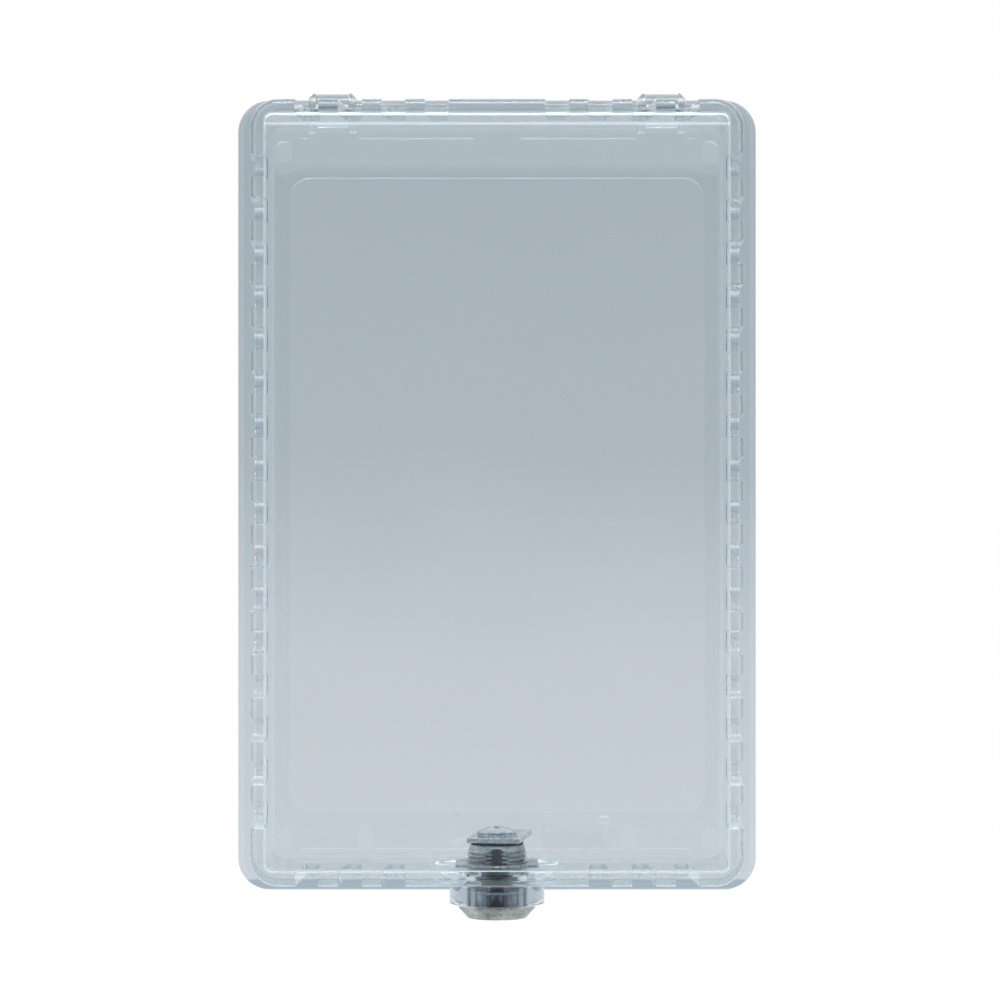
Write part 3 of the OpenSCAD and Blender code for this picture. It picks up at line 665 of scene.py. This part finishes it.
def make_housing(finish):
    """Bezel, neck and threaded barrel with two flats, and the bore for the plug."""
    columns = 128
    # A radius is a number, or a function of the turn about the axis, from 0 to 1
    bore = (
        (BORE_R, BARREL_TOP),
        (BORE_R, RETAINER_ROOM[0]), (ROOM_R, RETAINER_ROOM[0]),
        (ROOM_R, RETAINER_ROOM[1]), (BORE_R, RETAINER_ROOM[1]),
        (BORE_R, WAFER_ROOM[0]), (channel_radius, WAFER_ROOM[0]),
        (channel_radius, WAFER_ROOM[1]), (BORE_R, WAFER_ROOM[1]),
        (BORE_R, BORE_FOOT),
    )
    rows = int((BARREL_TOP - THREAD_LOW) / THREAD_STEP)
    heights = [THREAD_LOW + (BARREL_TOP - THREAD_LOW) * k / rows for k in range(1, rows + 1)]
    thread = [(partial(thread_radius, z_mm), z_mm) for z_mm in heights]
    outline = [(radius, z_mm, False) for radius, z_mm in (*bore, *BEZEL)]
    outline += [(radius, z_mm, True) for radius, z_mm in (*NECK, *thread)]
    shape = bmesh.new()
    rings = []
    for radius, z_mm, flat in outline:
        ring = []
        for k in range(columns):
            turn = k / columns
            r = radius(turn) if callable(radius) else radius
            x = r * math.cos(2 * math.pi * turn)
            y = r * math.sin(2 * math.pi * turn)
            if flat:
                y = max(-FLAT_D, min(FLAT_D, y))
            ring.append(shape.verts.new(about_lock(x, y, z_mm)))
        rings.append(ring)
    skin(shape, rings + rings[:1])
    bmesh.ops.remove_doubles(shape, verts=shape.verts, dist=HOUSING_MERGE_MM * MM)
    smoothed(shape)
    piece = placed("made_lock_housing", shape, finish, "cover", "lock_housing")
    piece.data.set_sharp_from_angle(angle=math.radians(HOUSING_SHARP_DEGREES))


def make_stop_ring(finish):
    """Ring sector on top of the barrel that the stop washer turns against."""
    steps = 48
    start, end = STOP_RING_ENDS
    shape = bmesh.new()
    rings = []
    for k in range(steps + 1):
        angle = math.radians(start + (end - start) * k / steps)
        rings.append([
            shape.verts.new(about_lock(r * math.sin(angle), r * math.cos(angle), z_mm))
            for r, z_mm in STOP_RING_SECTION
        ])
    skin(shape, rings)
    shape.faces.new(rings[0][::-1])
    shape.faces.new(rings[-1])
    placed("made_stop_ring", shape, finish, "cover", "lock_housing")


def make_star_washer(finish):
    """Toothed lock washer, each tooth twisted a little."""
    steps = 8
    count = WASHER_TEETH * steps
    shape = bmesh.new()
    rings = [[], [], [], []]
    for k in range(count):
        angle = 2 * math.pi * k / count
        along = (k % steps) / steps
        on_tooth = along < TOOTH_SHARE
        reach = TOOTH_R if on_tooth else TOOTH_ROOT_R
        tilt = (along - TWIST_ABOUT) * TOOTH_TWIST if on_tooth else 0.0
        middle = (WASHER_LOW + WASHER_HIGH) / 2 + tilt
        section = (
            (WASHER_BORE_R, WASHER_LOW + WASHER_STEP), (WASHER_BORE_R, WASHER_HIGH - WASHER_STEP),
            (reach, middle + TOOTH_HALF), (reach, middle - TOOTH_HALF),
        )
        for ring, (r, z_mm) in zip(rings, section):
            ring.append(shape.verts.new(about_lock(r * math.cos(angle), r * math.sin(angle), z_mm)))
    skin(shape, rings + rings[:1])
    piece = placed("made_lock_washer", shape, finish, "cover", "lock_washer")
    rounded(piece, TOOTH_EDGE, TOOTH_SHARP_DEGREES)


def board(name, corners, material):
    """A flat board of the studio."""
    mesh = bpy.data.meshes.new(name)
    mesh.from_pydata(corners, [], [(0, 1, 2, 3)])
    return linked(name, mesh, material)


def make_dark_card():
    """Dark board behind the camera that only reflections show, as the dark side of a studio."""
    f = Finish("dark_board")
    f.set(Base_Color=CARD_COLOUR, Roughness=0.95)
    corners = [
        (-CARD_HALF, CARD_Y, CARD_LOW), (CARD_HALF, CARD_Y, CARD_LOW),
        (CARD_HALF, CARD_Y, CARD_HIGH), (-CARD_HALF, CARD_Y, CARD_HIGH),
    ]
    card = board("dark_card", corners, f.material)
    card.visible_camera = False
    card.visible_diffuse = False
    card.visible_transmission = False
    card.visible_shadow = False


def seen_directly(tree):
    """1 for rays that show the background: from the camera, off a gloss or through glass."""
    path = tree.nodes.new("ShaderNodeLightPath")
    total = path.outputs["Is Camera Ray"]
    for name in ("Is Glossy Ray", "Is Transmission Ray"):
        add = tree.nodes.new("ShaderNodeMath")
        add.operation = "MAXIMUM"
        tree.links.new(total, add.inputs[0])
        tree.links.new(path.outputs[name], add.inputs[1])
        total = add.outputs[0]
    return total


def make_world():
    """White surroundings, brighter overhead where they are seen."""
    world = bpy.data.worlds.new("studio")
    bpy.context.scene.world = world
    world.use_nodes = True
    tree = world.node_tree
    lit = tree.nodes["Background"]
    lit.inputs[0].default_value = WHITE
    lit.inputs[1].default_value = WORLD_LIGHT
    seen = tree.nodes.new("ShaderNodeBackground")
    seen.inputs[0].default_value = WHITE
    way = tree.nodes.new("ShaderNodeTexCoord")
    split = tree.nodes.new("ShaderNodeSeparateXYZ")
    overhead = tree.nodes.new("ShaderNodeMapRange")
    for socket, value in zip(overhead.inputs[1:5], (SKY_FROM, SKY_FULL, 1.0, SKY_LIFT)):
        socket.default_value = value
    mix = tree.nodes.new("ShaderNodeMixShader")
    for output, socket in (
        (way.outputs["Generated"], split.inputs[0]),
        (split.outputs[2], overhead.inputs[0]),
        (overhead.outputs[0], seen.inputs[1]),
        (seen_directly(tree), mix.inputs[0]),
        (lit.outputs[0], mix.inputs[1]),
        (seen.outputs[0], mix.inputs[2]),
        (mix.outputs[0], tree.nodes["World Output"].inputs[0]),
    ):
        tree.links.new(output, socket)


def make_floor():
    """Pale floor that takes shadows and shows white where the camera, gloss or glass sees it."""
    f = Finish("pale_floor")
    f.set(Base_Color=(FLOOR_GREY, FLOOR_GREY, FLOOR_GREY, 1.0), Roughness=0.9, Specular_IOR_Level=0.0)
    glow = f.node("Emission", WHITE, f.math("MULTIPLY", seen_directly(f.tree), FLOOR_GLOW))
    total = f.node("AddShader", f.shader.outputs[0], glow)
    f.put(f.tree.nodes["Material Output"].inputs[0], total)
    corners = [
        (-FLOOR_HALF, -FLOOR_HALF, FLOOR_Z), (FLOOR_HALF, -FLOOR_HALF, FLOOR_Z),
        (FLOOR_HALF, FLOOR_HALF, FLOOR_Z), (-FLOOR_HALF, FLOOR_HALF, FLOOR_Z),
    ]
    board("floor", corners, f.material)


def make_lamp(name, place, width, height, watts):
    """Area lamp aimed at the middle of the base plate."""
    lamp = bpy.data.lights.new(name, "AREA")
    lamp.shape = "RECTANGLE"
    lamp.size = width
    lamp.size_y = height
    lamp.energy = watts
    holder = bpy.data.objects.new(name, lamp)
    holder.location = place
    holder.rotation_mode = "QUATERNION"
    holder.rotation_quaternion = (-Vector(place)).to_track_quat("-Z", "Y")
    bpy.context.scene.collection.objects.link(holder)


def make_camera():
    """Camera that looks level at the box, as in the photograph."""
    data = bpy.data.cameras.new("camera")
    data.lens = LENS_MM
    data.sensor_width = SENSOR_MM
    data.shift_x = SHIFT_X
    data.shift_y = SHIFT_Y
    data.clip_start = CLIP_NEAR
    data.clip_end = CLIP_FAR
    camera = bpy.data.objects.new("camera", data)
    camera.location = (0.0, CAMERA_Y, CAMERA_Z)
    camera.rotation_euler = (math.pi / 2, 0.0, 0.0)
    bpy.context.scene.collection.objects.link(camera)
    bpy.context.scene.camera = camera


make_camera()
make_world()
make_floor()
make_dark_card()
for lamp in LAMPS:
    make_lamp(*lamp)
bpy.context.scene.view_settings.view_transform = "Standard"
# Light runs a long way inside clear plastic before it comes out
bpy.context.scene.cycles.max_bounces = 32
bpy.context.scene.cycles.glossy_bounces = 24
bpy.context.scene.cycles.transmission_bounces = 32

cover_finish = cover_plastic()
base_finish = base_plastic()
cast = housing_metal()
metals = {name: metal(name, *values) for name, *values in METALS}
bright = metals["plated_steel"]
satin = metals["satin_steel"]
black = metals["dark_steel"]
brass = metals["wafer_brass"]
wire = metals["spring_steel"]

dressed("base_plate", PLASTIC_EDGE, base_finish)
dressed("cover", PLASTIC_EDGE, cover_finish)
make_housing(cast)
# The ring on top of the barrel is cast with the housing, darkened as painted shade in the gap under the cam
make_stop_ring(black)
dressed("lock_nut", METAL_EDGE, satin)
make_star_washer(bright)
dressed("lock_plug", PLUG_EDGE, metals["plug_metal"])
for number in range(1, 5):
    dressed(f"wafer_{number}", SHEET_EDGE, brass)
    NODES[f"wafer_spring_{number}"].data.materials[0] = wire
dressed("plug_retainer", SHEET_EDGE, brass)
NODES["retainer_spring"].data.materials[0] = wire
dressed("stop_washer", PLUG_EDGE, black)
dressed("cam", METAL_EDGE, bright)
dressed("cam_washer", SHEET_EDGE, bright)
dressed("cam_screw", METAL_EDGE, satin)
